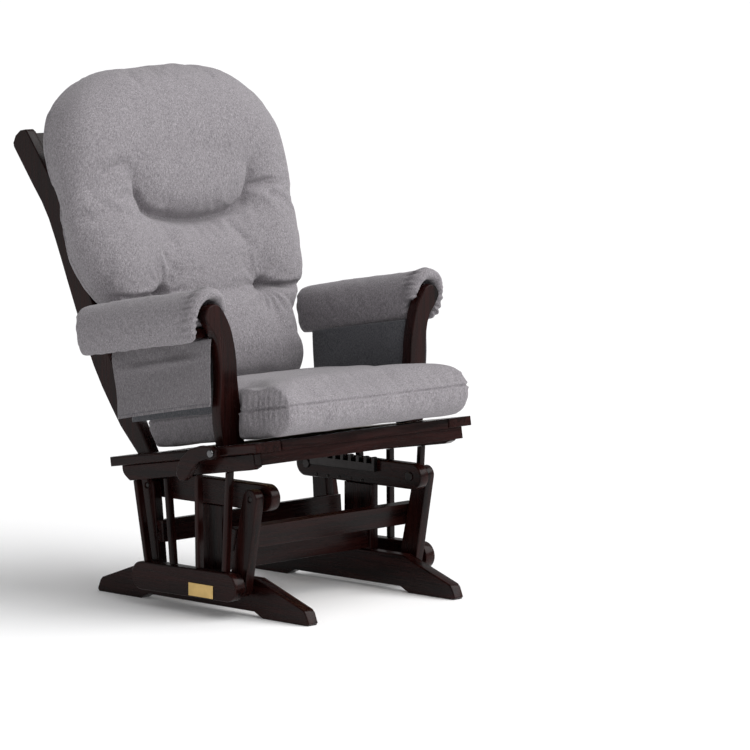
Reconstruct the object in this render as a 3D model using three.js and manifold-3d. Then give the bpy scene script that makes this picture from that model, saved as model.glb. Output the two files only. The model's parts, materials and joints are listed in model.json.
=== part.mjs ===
// A wooden nursery glider: a fixed base, four swing arms, a gliding seat frame
// and a reclining back. Millimetres, +Z up, the sitter faces -Y.
// "left" is the -X side, which is on the left for somebody facing the chair.
import * as THREE from 'three';
import { mergeVertices } from 'three/addons/utils/BufferGeometryUtils.js';
import Module from 'manifold-3d';

const wasm = await Module();
wasm.setup();

// ---- driving dimensions -------------------------------------------------
const gap = 0.4;                  // air left between pieces that touch

const foot = { inner: 192.4, outer: 220.4, half: 300, pad: 173, arch: 150, archZ: 11, toeZ: 28, top: 76, slope: 156 };
const rail = { inner: 196.8, outer: 221.8, bottom: 210, top: 262, overhang: 32 };
const post = { inner: 196.4, outer: 220.4, rear: 10, front: -64 };
const pivot = { frontY: -172, rearY: 117, z: 236, length: 175.5, frontLean: 11.505, rearLean: -4.575 };
const arm = { inner: 229, outer: 252, topRadius: 19, lowRadius: 23 };
const lowBoard = { inner: 255, outer: 283, radius: 28 };
const seat = { tilt: 8.76, z: 318.3, front: -246, rear: 172, inner: 235.5, outer: 303.5, thick: 19 };
const apron = { inner: 262, outer: 284, low: -50.5 };
const frontBand = { y: -236, thick: 20, low: -43 };
const stick = { inner: 262, outer: 278, wide: 11, topY: 124, topStep: 87, lowY: 94, lowStep: 73, count: 4 };
const armPost = { front: -133, rear: -108 };
const armTop = { y: -106.5, z: 538.5, length: 318 };
const back = { inner: 209, outer: 234, half: 27, hingeY: 136, hingeZ: 287.7 };
const bolt = { shank: 4.8, hole: 5.2, openHole: 7.4, cap: 9, collar: 10 };
const lever = { y: -138, z: 328.6, hole: 4.7, shaft: 4.2 };
const degrees = Math.PI / 180;
const sides = [['left', -1], ['right', 1]];

// ---- materials ----------------------------------------------------------
const finishes = {
  wood: [0x2a1614, 0.38, 0],
  fabric: [0x85868c, 0.95, 0],
  lining: [0x4b4d53, 0.95, 0],
  steel: [0x3c3c3e, 0.4, 0.9],
  chrome: [0xc8c8c8, 0.2, 1],
  brass: [0xb08a45, 0.35, 0.9],
};

const group = new THREE.Group();

function add(name, geometry, finish, parent = group) {
  const [color, roughness, metalness] = finishes[finish];
  const mesh = new THREE.Mesh(geometry, new THREE.MeshStandardMaterial({ color, roughness, metalness }));
  mesh.name = name;
  parent.add(mesh);
  return mesh;
}

// ---- shape helpers ------------------------------------------------------
function toShape(outline) {
  if (outline instanceof THREE.Shape) {
    return outline;
  }
  return new THREE.Shape(outline.map(([u, v]) => new THREE.Vector2(u, v)));
}

function roundHole(u, v, radius) {
  const corners = 16;
  const points = [];
  for (let corner = 0; corner < corners; corner += 1) {
    const angle = -2 * Math.PI * corner / corners;
    points.push(new THREE.Vector2(u + radius * Math.cos(angle), v + radius * Math.sin(angle)));
  }
  return new THREE.Path(points);
}

function extrude(outline, depth, bevel, segments, curveSegments) {
  const settings = { depth: depth - 2 * bevel, curveSegments, bevelEnabled: bevel > 0 };
  if (bevel > 0) {
    Object.assign(settings, { bevelSize: bevel, bevelThickness: bevel, bevelOffset: -bevel });
    settings.bevelSegments = segments;
  }
  const geometry = new THREE.ExtrudeGeometry(toShape(outline), settings);
  return geometry.translate(0, 0, bevel);
}

// A piece cut from a side outline of [y, z] points, filling the band x0..x1.
function alongX(outline, x0, x1, { bevel = 0, segments = 1, curveSegments = 10 } = {}) {
  const geometry = extrude(outline, x1 - x0, bevel, segments, curveSegments);
  geometry.applyMatrix4(new THREE.Matrix4().makeBasis(
    new THREE.Vector3(0, 1, 0), new THREE.Vector3(0, 0, 1), new THREE.Vector3(1, 0, 0)));
  return geometry.translate(x0, 0, 0);
}

// A piece cut from a front outline of [x, z] points, filling the band y0..y1.
function alongY(outline, y0, y1, { bevel = 0, segments = 1, curveSegments = 10 } = {}) {
  const geometry = extrude(outline, y1 - y0, bevel, segments, curveSegments);
  geometry.applyMatrix4(new THREE.Matrix4().makeBasis(
    new THREE.Vector3(1, 0, 0), new THREE.Vector3(0, 0, 1), new THREE.Vector3(0, -1, 0)));
  return geometry.translate(0, y1, 0);
}

// The same band on either side of the chair.
function band(side, inner, outer) {
  return side < 0 ? [-outer, -inner] : [inner, outer];
}

function mirrored(outline, side) {
  return outline.map(([x, z]) => [x * side, z]);
}

function rectangle(u0, u1, v0, v1) {
  return [[u0, v0], [u1, v0], [u1, v1], [u0, v1]];
}

// Two round ends joined by straight sides, from (0, 0) to (u, v).
function stadium(u, v, radiusA, radiusB) {
  const heading = Math.atan2(v, u);
  const shape = new THREE.Shape();
  shape.absarc(u, v, radiusB, heading - Math.PI / 2, heading + Math.PI / 2, false);
  shape.absarc(0, 0, radiusA, heading + Math.PI / 2, heading + Math.PI * 1.5, false);
  return shape;
}

// A turned piece lying along X: [radius, x] pairs from one end to the other.
function turned(profile, side, sections = 20) {
  const points = profile.map(([radius, x]) => new THREE.Vector2(radius, x));
  return new THREE.LatheGeometry(points, sections).rotateZ(-side * Math.PI / 2);
}

// ---- cutting and joining ------------------------------------------------
function toSolid(geometry) {
  const bare = new THREE.BufferGeometry();
  bare.setAttribute('position', geometry.getAttribute('position').clone());
  if (geometry.index) {
    bare.setIndex(geometry.index.clone());
  }
  const merged = mergeVertices(bare, 1e-3);
  return new wasm.Manifold(new wasm.Mesh({
    numProp: 3,
    vertProperties: new Float32Array(merged.getAttribute('position').array),
    triVerts: new Uint32Array(merged.index.array),
  }));
}

function fromSolid(solid) {
  const mesh = solid.getMesh();
  const geometry = new THREE.BufferGeometry();
  geometry.setAttribute('position', new THREE.BufferAttribute(mesh.vertProperties, 3));
  geometry.setIndex(new THREE.BufferAttribute(mesh.triVerts, 1));
  geometry.computeVertexNormals();
  return geometry;
}

function cut(geometry, ...tools) {
  return fromSolid(tools.reduce((solid, tool) => solid.subtract(toSolid(tool)), toSolid(geometry)));
}

function join(a, b) {
  return fromSolid(toSolid(a).add(toSolid(b)));
}

function common(a, b) {
  return fromSolid(toSolid(a).intersect(toSolid(b)));
}

function drill(x0, x1, y, z, radius) {
  const geometry = new THREE.CylinderGeometry(radius, radius, x1 - x0, 20);
  return geometry.rotateZ(Math.PI / 2).translate((x0 + x1) / 2, y, z);
}

// ---- seat plane ---------------------------------------------------------
// The seat frame slopes up towards the front. These give its top surface.
const slope = Math.tan(seat.tilt * degrees);

function seatTop(y) {
  return seat.z - y * slope;
}

const seatFrame = new THREE.Group();
seatFrame.position.z = seat.z;
seatFrame.rotation.x = -seat.tilt * degrees;
group.add(seatFrame);

// Turns a working (y, z) place into the sloping seat frame's own (y, z).
function inSeat(y, z) {
  const turn = seat.tilt * degrees;
  const rise = z - seat.z;
  return [y * Math.cos(turn) - rise * Math.sin(turn), y * Math.sin(turn) + rise * Math.cos(turn)];
}

// ---- base: feet, uprights, rails ----------------------------------------
function footOutline() {
  const rearHalf = [
    [foot.arch, foot.archZ],
    [foot.pad, 0],
    [foot.half - 4, 0],
    [foot.half, 5],
    [foot.half - 8, foot.toeZ - 4],
    [foot.half - 14, foot.toeZ + 2],
    [foot.slope, foot.top],
  ];
  const frontHalf = rearHalf.map(([y, z]) => [-y, z]).reverse();
  return [...rearHalf, ...frontHalf];
}

function railOutline() {
  const radius = (rail.top - rail.bottom) / 2;
  const front = pivot.frontY - rail.overhang + radius;
  const rear = pivot.rearY + rail.overhang - radius;
  const shape = new THREE.Shape();
  shape.absarc(rear, pivot.z, radius, -Math.PI / 2, Math.PI / 2, false);
  shape.absarc(front, pivot.z, radius, Math.PI / 2, Math.PI * 1.5, false);
  shape.holes.push(roundHole(pivot.frontY, pivot.z, bolt.hole), roundHole(pivot.rearY, pivot.z, bolt.hole));
  return shape;
}

const topBolt = [
  [0, 193.3], [bolt.cap - 1, 193.3], [bolt.cap, 194.3], [bolt.cap, rail.inner - gap],
  [bolt.shank, rail.inner - gap], [bolt.shank, rail.outer + gap], [bolt.collar, rail.outer + gap],
  [bolt.collar, arm.inner - gap], [bolt.shank, arm.inner - gap], [bolt.shank, arm.outer - 2],
  [0, arm.outer - 2],
];

const lowBolt = [
  [0, 225.4], [bolt.cap - 1, 225.4], [bolt.cap, 226.4], [bolt.cap, arm.inner - gap],
  [bolt.shank, arm.inner - gap], [bolt.shank, arm.outer + gap], [bolt.collar, arm.outer + gap],
  [bolt.collar, lowBoard.inner - gap], [bolt.shank, lowBoard.inner - gap],
  [bolt.shank, lowBoard.inner + 18], [0, lowBoard.inner + 18],
];

function buildBase() {
  for (const [word, side] of sides) {
    const footBand = band(side, foot.inner, foot.outer);
    add(`${word}_foot`, alongX(footOutline(), ...footBand, { bevel: 2.5 }), 'wood');
    const upright = rectangle(post.front, post.rear, foot.top + gap, rail.bottom - gap);
    add(`${word}_base_upright`, alongX(upright, ...band(side, post.inner, post.outer), { bevel: 1.5 }), 'wood');
    const railBand = band(side, rail.inner, rail.outer);
    add(`${word}_base_rail`, alongX(railOutline(), ...railBand, { bevel: 2.5 }), 'wood');
    for (const [place, y] of [['front', pivot.frontY], ['rear', pivot.rearY]]) {
      add(`${word}_${place}_upper_bolt`, turned(topBolt, side), 'steel').position.set(0, y, pivot.z);
    }
  }
  const reach = post.inner - gap;
  const stretcherHeight = [foot.top + 4, 140];
  const stretcherThick = 22;
  for (const [place, y] of [['front', post.front + 4], ['rear', post.rear - 4 - stretcherThick]]) {
    const outline = rectangle(y, y + stretcherThick, ...stretcherHeight);
    add(`${place}_stretcher`, alongX(outline, -reach, reach, { bevel: 1.5 }), 'wood');
  }
}

// ---- glide lock ---------------------------------------------------------
// A slotted rack on the right base rail, and a tooth on the lever's cross shaft.
const rack = { inner: 186, outer: 196, top: 268, bottom: 238, firstY: -70.3, step: 22, count: 8, wide: 14, deep: 13 };

function rackOutline() {
  const lastY = rack.firstY + (rack.count - 1) * rack.step;
  const points = [[rack.firstY - rack.wide, rack.bottom], [rack.firstY - rack.wide, rack.top]];
  for (let slot = 0; slot < rack.count; slot += 1) {
    const middle = rack.firstY + slot * rack.step;
    const floor = rack.top - rack.deep;
    points.push([middle - rack.wide / 2, rack.top], [middle - rack.wide / 2, floor]);
    points.push([middle + rack.wide / 2, floor], [middle + rack.wide / 2, rack.top]);
  }
  points.push([lastY + rack.wide, rack.top], [lastY + rack.wide, rack.bottom]);
  return points;
}

// Outlines about the lever's pivot.
const toothOutline = [[-10, -8], [60, -28], [114, -34], [118, -50], [124, -50], [126, -17.5], [-10, 3.2]];
const leverOutline = [
  [-12, -6], [0, -13], [17, -13], [36, -20], [55, -38], [66, -53], [76, -60],
  [90, -60], [98, -50], [96, -34], [84, -15], [62, 3], [33, 12], [0, 13], [-12, 6],
];

function buildLock() {
  add('lock_rack', alongX(rackOutline(), rack.inner, rack.outer), 'steel');
  const head = seat.outer + 22;
  const shaftProfile = [
    [0, -head], [6, -head], [7.5, -head + 1.5], [7.5, -head + 4], [lever.shaft, -head + 4],
    [lever.shaft, 256], [0, 256],
  ];
  const shaft = turned(shaftProfile, 1, 16);
  const tooth = alongX(toothOutline, rack.inner + 1, rack.outer - 1);
  add('lock_shaft', join(shaft, tooth), 'chrome').position.set(0, lever.y, lever.z);
  const shape = toShape(leverOutline);
  shape.holes.push(roundHole(0, 0, lever.hole));
  const blade = alongX(shape, -head + 4 + gap, -seat.outer - 2.5, { bevel: 3, segments: 2 });
  add('lock_lever', blade, 'wood').position.set(0, lever.y, lever.z);
}

// ---- swing arms ---------------------------------------------------------
function buildSwingArms(place, y, lean, lowHole, boardSide) {
  const outline = stadium(0, -pivot.length, arm.topRadius, arm.lowRadius);
  outline.holes.push(roundHole(0, 0, bolt.hole), roundHole(0, -pivot.length, lowHole));
  const hanger = new THREE.Group();
  hanger.position.set(0, y, pivot.z);
  hanger.rotation.x = lean * degrees;
  group.add(hanger);
  for (const [word, side] of sides) {
    const geometry = alongX(outline, ...band(side, arm.inner, arm.outer), { bevel: 2 });
    add(`${word}_${place}_swing_arm`, geometry, 'wood', hanger);
  }
  const near = (arm.topRadius + arm.lowRadius) / 2 + 1.2;
  const faces = boardSide > 0 ? [near, near + 18] : [-near - 18, -near];
  const board = alongX(rectangle(...faces, -112, -68), -arm.outer, arm.outer, { bevel: 2 });
  add(`${place}_cross_board`, board, 'wood', hanger);
}

// Where the lower end of a swing arm is.
function armEnd(y, lean) {
  return [y + pivot.length * Math.sin(lean * degrees), pivot.z - pivot.length * Math.cos(lean * degrees)];
}

const frontLow = armEnd(pivot.frontY, pivot.frontLean);
const rearLow = armEnd(pivot.rearY, pivot.rearLean);
const lowSlope = (rearLow[1] - frontLow[1]) / (rearLow[0] - frontLow[0]);

function lowBoardTop(y) {
  return frontLow[1] + (y - frontLow[0]) * lowSlope + lowBoard.radius;
}

// ---- gliding side frames ------------------------------------------------
function buildSideFrames() {
  for (const [word, side] of sides) {
    const outline = stadium(rearLow[0] - frontLow[0], rearLow[1] - frontLow[1], lowBoard.radius, lowBoard.radius);
    const solid = alongX(outline, ...band(side, lowBoard.inner, lowBoard.outer), { bevel: 2.5 });
    const drills = [frontLow, rearLow].map(([y, z]) => {
      const holeBand = band(side, lowBoard.inner - 1, lowBoard.inner + 19);
      return drill(...holeBand, y - frontLow[0], z - frontLow[1], bolt.hole);
    });
    add(`${word}_lower_board`, cut(solid, ...drills), 'wood').position.set(0, ...frontLow);
    for (const [place, low] of [['front', frontLow], ['rear', rearLow]]) {
      add(`${word}_${place}_lower_bolt`, turned(lowBolt, side), 'steel').position.set(0, ...low);
    }
    buildSticks(word, side);
  }
}

function buildSticks(word, side) {
  const underApron = (y) => seatTop(y) + apron.low / Math.cos(seat.tilt * degrees) - gap;
  const half = stick.wide / 2;
  for (let number = 1; number <= stick.count; number += 1) {
    const top = stick.topY - (number - 1) * stick.topStep;
    const low = stick.lowY - (number - 1) * stick.lowStep;
    const outline = [
      [low - half, lowBoardTop(low - half) + gap],
      [low + half, lowBoardTop(low + half) + gap],
      [top + half, underApron(top + half)],
      [top - half, underApron(top - half)],
    ];
    const geometry = alongX(outline, ...band(side, stick.inner, stick.outer), { bevel: 2 });
    add(`${word}_spindle_${number}`, geometry, 'wood');
  }
}

// The apron's ends are cut to an ogee.
function apronOutline() {
  const top = -seat.thick - gap;
  const low = apron.low;
  const shape = new THREE.Shape();
  shape.moveTo(160, top);
  shape.lineTo(160, top - 7);
  shape.bezierCurveTo(160, top - 18, 152, top - 22, 146, low + 3);
  shape.lineTo(142, low);
  const front = frontBand.y + frontBand.thick + gap;
  shape.lineTo(front + 14, low);
  shape.lineTo(front, low + 5);
  shape.lineTo(front, top);
  return shape;
}

// ---- seat frame ---------------------------------------------------------
// A plank between the side rails, with a band under it that runs on below their front ends.
function frontRailGeometry(reach) {
  const plank = alongX(rectangle(seat.front, -190, -seat.thick, 0), -reach, reach, { bevel: 3 });
  const band0 = frontBand.y;
  const band1 = band0 + frontBand.thick;
  const top = -seat.thick - gap;
  const strip = alongX(rectangle(band0, band1, frontBand.low, top), -apron.outer, apron.outer, { bevel: 2 });
  const tongue = alongX(rectangle(band0 + 4, band1 - 4, -seat.thick - 4, -seat.thick + 4), -reach + 4, reach - 4);
  return join(join(plank, strip), tongue);
}

function buildSeatFrame() {
  const leverHole = inSeat(lever.y, lever.z);
  const hingeHole = inSeat(back.hingeY, back.hingeZ);
  const outline = rectangle(seat.front, seat.rear, -seat.thick, 0);
  for (const [word, side] of sides) {
    const plank = alongX(outline, ...band(side, seat.inner, seat.outer), { bevel: 3 });
    const shaftDepth = side < 0 ? seat.outer + 1 : 258;
    const holes = [
      drill(...band(side, seat.inner - 1, shaftDepth), ...leverHole, lever.hole),
      drill(...band(side, seat.inner - 1, 263), ...hingeHole, bolt.hole),
    ];
    add(`${word}_side_rail`, cut(plank, ...holes), 'wood', seatFrame);
    const apronSolid = alongX(apronOutline(), ...band(side, apron.inner, apron.outer), { bevel: 2 });
    add(`${word}_apron`, apronSolid, 'wood', seatFrame);
  }
  const reach = seat.inner - gap;
  add('front_rail', frontRailGeometry(reach), 'wood', seatFrame);
  add('rear_rail', alongX(rectangle(30, 90, -seat.thick, 0), -reach, reach, { bevel: 2 }), 'wood', seatFrame);
  add('seat_deck', alongX(rectangle(-190 + gap, 30 - gap, -6, 0), -reach, reach), 'wood', seatFrame);
  const rod = turned([[0, -262], [bolt.shank, -262], [bolt.shank, 262], [0, 262]], 1, 16);
  add('back_hinge_rod', rod, 'steel').position.set(0, back.hingeY, back.hingeZ);
}

// ---- arms ---------------------------------------------------------------
const postOuter = [[291, 391], [287, 470], [296, 541], [318, 574], [328, 592], [318, 609], [301, 614]];
const postInner = [[284, 604], [260, 566], [246, 512], [241, 455], [222, 326]];

function armPostOutline(side) {
  const shape = new THREE.Shape();
  shape.moveTo(278 * side, 326);
  shape.splineThru(mirrored(postOuter, side).map(([x, z]) => new THREE.Vector2(x, z)));
  shape.splineThru(mirrored(postInner, side).map(([x, z]) => new THREE.Vector2(x, z)));
  shape.closePath();
  return shape;
}

function padOutline(side) {
  const half = [
    [330, 0],
    [341, 0],
    [347, 8],
    [351, 30],
    [351, 62],
    [345, 82],
    [330, 96],
    [307, 101],
    [284, 96],
    [269, 82],
    [263, 62],
    [263, 30],
    [268, 8],
    [278, 0],
    [284, 0],
    [284, 31],
    [330, 31],
  ];
  return mirrored(half, side);
}

// A strip hung below the pad between two x places, from its top edge down by a drop.
function slingStrip(side, inner, outer, frontLow, rearLow) {
  const [front, rear] = [armPost.rear + 1.5, 158];
  const under = (y) => armTop.z - (y - armTop.y) * slope - 2 * gap;
  const outline = [[front, frontLow], [rear - 14, rearLow], [rear, under(rear)], [front, under(front)]];
  return alongX(outline, ...band(side, inner, outer));
}

function slingGeometry(side) {
  const web = slingStrip(side, 256, 303, 533, 493);
  const pocket = slingStrip(side, 297, 303, 415, 371);
  const lining = slingStrip(side, 256, 261, 405, 365);
  return join(join(web, pocket), lining);
}

function buildArms() {
  const armFrame = new THREE.Group();
  armFrame.position.set(0, armTop.y, armTop.z);
  armFrame.rotation.x = -seat.tilt * degrees;
  group.add(armFrame);
  for (const [word, side] of sides) {
    const settings = { bevel: 2.5, curveSegments: 3 };
    const blank = alongY(armPostOutline(side), armPost.front, armPost.rear, settings);
    const below = alongX([[-400, 200], [400, 200], [400, seatTop(400) + gap], [-400, seatTop(-400) + gap]], -400, 400);
    add(`${word}_arm_post`, cut(blank, below), 'wood');
    const restOutline = mirrored(rectangle(285, 329, 9, 29), side);
    add(`${word}_arm_rest`, alongY(restOutline, 2, armTop.length - 8, { bevel: 2 }), 'wood', armFrame);
    add(`${word}_arm_pad`, alongY(padOutline(side), 2, armTop.length), 'fabric', armFrame);
    add(`${word}_arm_sling`, slingGeometry(side), 'lining');
  }
}

// ---- back ---------------------------------------------------------------
const backLine = [[196, 365], [262, 460], [331, 605], [364, 682], [409, 776], [460, 843], [506, 904]];

// The post is a board of even width about an S-shaped line, narrowed at its hinge.
function backPostOutline() {
  const points = [[back.hingeY, back.hingeZ], ...backLine].map(([y, z]) => new THREE.Vector3(y, z, 0));
  const line = new THREE.CatmullRomCurve3(points);
  const steps = 16;
  const front = [];
  const rear = [];
  for (let step = 0; step <= steps; step += 1) {
    const at = line.getPointAt(step / steps);
    const along = line.getTangentAt(step / steps);
    const half = Math.min(back.half, 16 + 11 * step / 2);
    rear.push([at.x + along.y * half, at.y - along.x * half]);
    front.push([at.x - along.y * half, at.y + along.x * half]);
  }
  const tip = line.getPointAt(1);
  const along = line.getTangentAt(1);
  const cap = [30, 70, 110, 150].map((angle) => {
    const across = Math.cos(angle * degrees) * back.half;
    const up = Math.sin(angle * degrees) * 17;
    return [tip.x + along.y * across + along.x * up, tip.y - along.x * across + along.y * up];
  });
  const start = line.getTangentAt(0);
  const heel = [150, 90, 30].map((angle) => {
    const across = Math.cos(angle * degrees) * 16;
    const down = Math.sin(angle * degrees) * 16;
    return [back.hingeY + start.y * across - start.x * down, back.hingeZ - start.x * across - start.y * down];
  });
  return toShape([...rear, ...cap, ...front.reverse(), ...heel]);
}

// A flat piece of the back between two places on the back's line, moved forward or back.
function backBoard(name, from, to, x0, x1, thick, shift) {
  const length = Math.hypot(to[0] - from[0], to[1] - from[1]);
  const lean = Math.atan2(to[1] - from[1], to[0] - from[0]);
  const outline = rectangle(0, length, shift - thick / 2, shift + thick / 2);
  const mesh = add(name, alongX(outline, x0, x1, { bevel: 2 }), 'wood');
  mesh.position.set(0, ...from);
  mesh.rotation.x = lean;
}

function buildBack() {
  const outline = backPostOutline();
  outline.holes.push(roundHole(back.hingeY, back.hingeZ, bolt.hole));
  for (const [word, side] of sides) {
    add(`${word}_back_post`, alongX(outline, ...band(side, back.inner, back.outer), { bevel: 2.5 }), 'wood');
  }
  const reach = back.inner - gap;
  const crestLow = [451, 831];
  const crestTop = [508, 907];
  const lowLow = [246, 434];
  const lowTop = [270, 478];
  backBoard('crest_rail', crestLow, crestTop, -reach, reach, 20, 6);
  backBoard('lower_back_rail', lowLow, lowTop, -reach, reach, 20, 6);
  const slatLow = [lowTop[0] + 0.7, lowTop[1] + 0.9];
  const slatTop = [crestLow[0] - 0.7, crestLow[1] - 0.9];
  const slats = [['left', -130, -40], ['right', 40, 130]];
  for (const [word, x0, x1] of slats) {
    backBoard(`${word}_back_slat`, slatLow, slatTop, x0, x1, 12, 6);
  }
}

// ---- cushions -----------------------------------------------------------
const backCushionEdge = [
  [221, 404], [226, 500], [236, 572], [264, 612], [290, 655], [298, 720], [298, 860],
  [290, 920], [260, 970], [207, 1012], [130, 1041], [0, 1053],
];
const backCushionFront = [
  [152, 404], [140, 432], [138, 500], [150, 570], [162, 615], [180, 680], [212, 790], [250, 907], [276, 980],
  [312, 1035], [345, 1053],
];
const backCushionRear = [
  [378, 1044], [398, 1008], [402, 950], [396, 900], [380, 850], [356, 790], [322, 680], [291, 610],
  [256, 528], [224, 464], [187, 404],
];

function buildCushions() {
  const mirroredEdge = backCushionEdge.slice(0, -1).reverse().map(([x, z]) => [-x, z]);
  const face = alongY([...backCushionEdge, ...mirroredEdge], 100, 460);
  const side = alongX([...backCushionFront, ...backCushionRear], -300, 300);
  add('back_cushion', common(face, side), 'fabric');
  const seatProfile = [
    [-262, seatTop(-262) + 2], [-282, 380], [-290, 405], [-286, 435], [-270, 456], [-240, 467],
    [-130, 453], [60, 434], [139, 421], [141, 400], [138, 345], [112, seatTop(112) + 2],
  ];
  const wide = alongX(seatProfile, -258, 258);
  const cheeks = sides.flatMap(([, side]) => [
    alongX(rectangle(armPost.front - 2, 300, 200, 600), ...band(side, 240, 300)),
    alongX(rectangle(armPost.front - 2, armPost.rear + 3, 200, 600), ...band(side, 219, 300)),
  ]);
  add('seat_cushion', cut(wide, ...cheeks), 'fabric');
}

// ---- name plate ---------------------------------------------------------
function buildPlate() {
  const face = lowBoard.outer + 0.3;
  const middle = [-69, 51];
  const outline = rectangle(middle[0] - 34, middle[0] + 34, middle[1] - 13, middle[1] + 13);
  add('name_plate', alongX(outline, -face - 1.4, -face), 'brass');
}

buildBase();
buildLock();
buildSwingArms('front', pivot.frontY, pivot.frontLean, bolt.hole, 1);
buildSwingArms('rear', pivot.rearY, pivot.rearLean, bolt.openHole, -1);
buildSideFrames();
buildSeatFrame();
buildArms();
buildBack();
buildCushions();
buildPlate();

// The origin goes to the floor under the middle of the chair's depth.
const chair = new THREE.Group();
chair.add(group);
const bounds = new THREE.Box3().setFromObject(group, true);
group.position.y = -(bounds.min.y + bounds.max.y) / 2;
chair.updateMatrixWorld(true);

export default chair;
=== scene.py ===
import json
import math

import bmesh
import bpy
import numpy as np
from mathutils import Matrix, Vector, noise


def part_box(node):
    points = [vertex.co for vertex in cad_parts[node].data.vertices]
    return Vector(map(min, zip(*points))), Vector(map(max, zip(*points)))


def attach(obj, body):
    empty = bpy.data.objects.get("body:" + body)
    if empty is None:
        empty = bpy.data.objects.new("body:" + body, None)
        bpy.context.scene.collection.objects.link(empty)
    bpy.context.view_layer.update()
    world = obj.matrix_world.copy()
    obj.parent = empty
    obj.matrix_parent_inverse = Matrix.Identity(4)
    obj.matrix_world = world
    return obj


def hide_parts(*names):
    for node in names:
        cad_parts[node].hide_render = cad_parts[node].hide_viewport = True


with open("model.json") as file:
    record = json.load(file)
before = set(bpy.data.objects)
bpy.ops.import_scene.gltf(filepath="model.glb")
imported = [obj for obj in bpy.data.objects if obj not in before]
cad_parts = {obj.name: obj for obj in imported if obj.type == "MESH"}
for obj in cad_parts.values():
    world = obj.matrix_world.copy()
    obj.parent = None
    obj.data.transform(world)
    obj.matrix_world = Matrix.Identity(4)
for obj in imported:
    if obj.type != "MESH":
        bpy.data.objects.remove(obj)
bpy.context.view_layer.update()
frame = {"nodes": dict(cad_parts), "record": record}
print("frame loaded")

mm = 0.001
footLow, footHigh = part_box("left_foot")
footMiddle = (footLow.y + footHigh.y) / 2      # the feet's middle, which is the chair's own zero in depth
seatTilt = math.radians(8.76)
seatHeight = 318.3      # millimetres from the floor to the top of the seat boards, over the feet's middle
bodyOf = {node: body for body, nodes in frame["record"]["behaviour"]["bodies"].items() for node in nodes}
slotOf = {row["node"]: row["material_slot"] for row in frame["record"]["subparts"]}


# a place in the chair's own millimetres, where the feet's middle is zero
def at(x, y, z):
    return Vector((x * mm, y * mm + footMiddle, z * mm))


def smoothStep(value, low, high):
    t = np.clip((value - low) / (high - low), 0, 1)
    return t * t * (3 - 2 * t)


class Link:
    def __init__(self, recipe, socket):
        self.recipe = recipe
        self.socket = socket

    def maths(self, operation, a, b=0.0):
        return self.recipe.node("ShaderNodeMath", {"operation": operation}, {0: a, 1: b})

    def __add__(self, other):
        return self.maths("ADD", self, other)

    def __sub__(self, other):
        return self.maths("SUBTRACT", self, other)

    def __mul__(self, other):
        return self.maths("MULTIPLY", self, other)

    def sine(self):
        return self.maths("SINE", self)


class Recipe:
    def __init__(self, name):
        self.material = bpy.data.materials.new(name)
        self.material.use_nodes = True
        self.tree = self.material.node_tree
        self.shader = self.tree.nodes["Principled BSDF"]

    # any node: its type, its settings first, then the values or links of its sockets
    def node(self, kind, settings=None, sockets=None, out=0):
        made = self.tree.nodes.new(kind)
        for key, value in (settings or {}).items():
            if key == "stops":
                ramp = made.color_ramp
                while len(ramp.elements) < len(value):
                    ramp.elements.new(0.5)
                for element, (place, colour) in zip(ramp.elements, value):
                    element.position = place
                    element.color = (*colour, 1)
            else:
                setattr(made, key, value)
        for key, value in (sockets or {}).items():
            self.feed(made.inputs[key], value)
        return Link(self, made.outputs[out])

    def feed(self, socket, value):
        if isinstance(value, Link):
            self.tree.links.new(value.socket, socket)
        elif hasattr(value, "__len__") and len(value) == 3 and socket.type == "RGBA":
            socket.default_value = (*value, 1)
        else:
            socket.default_value = value

    def set(self, **values):
        for key, value in values.items():
            self.feed(self.shader.inputs[key.replace("_", " ")], value)
        return self

    def place(self, scale=(1, 1, 1), turn=(0, 0, 0)):
        where = self.node("ShaderNodeTexCoord", out="Object")
        return self.node("ShaderNodeMapping", {}, {"Vector": where, "Scale": scale, "Rotation": turn})

    def grain(self, scale, vector, detail=4.0, rough=0.55, twist=0.0):
        return self.node("ShaderNodeTexNoise", {}, {
            "Vector": vector, "Scale": scale, "Detail": detail, "Roughness": rough, "Distortion": twist})

    def mix(self, factor, a, b, how="MIX"):
        settings = {"data_type": "RGBA", "blend_type": how}
        return self.node("ShaderNodeMix", settings, {0: factor, 6: a, 7: b}, out=2)

    def ramp(self, factor, *stops):
        return self.node("ShaderNodeValToRGB", {"stops": stops}, {0: factor})

    def spread(self, value, low, high, newLow=0.0, newHigh=1.0):
        sockets = {"Value": value, "From Min": low, "From Max": high, "To Min": newLow, "To Max": newHigh}
        return self.node("ShaderNodeMapRange", {}, sockets)

    def bump(self, height, distance, strength=1.0):
        return self.node("ShaderNodeBump", {}, {"Height": height, "Distance": distance, "Strength": strength})

    def split(self, vector):
        made = self.node("ShaderNodeSeparateXYZ", {}, {0: vector})
        return [Link(self, made.socket.node.outputs[i]) for i in range(3)]


espresso = {"dark": (0.003, 0.0011, 0.001), "red": (0.023, 0.0046, 0.0036), "pore": (0.002, 0.0009, 0.0008),
            "along": 5.0, "across": 70.0}


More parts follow.
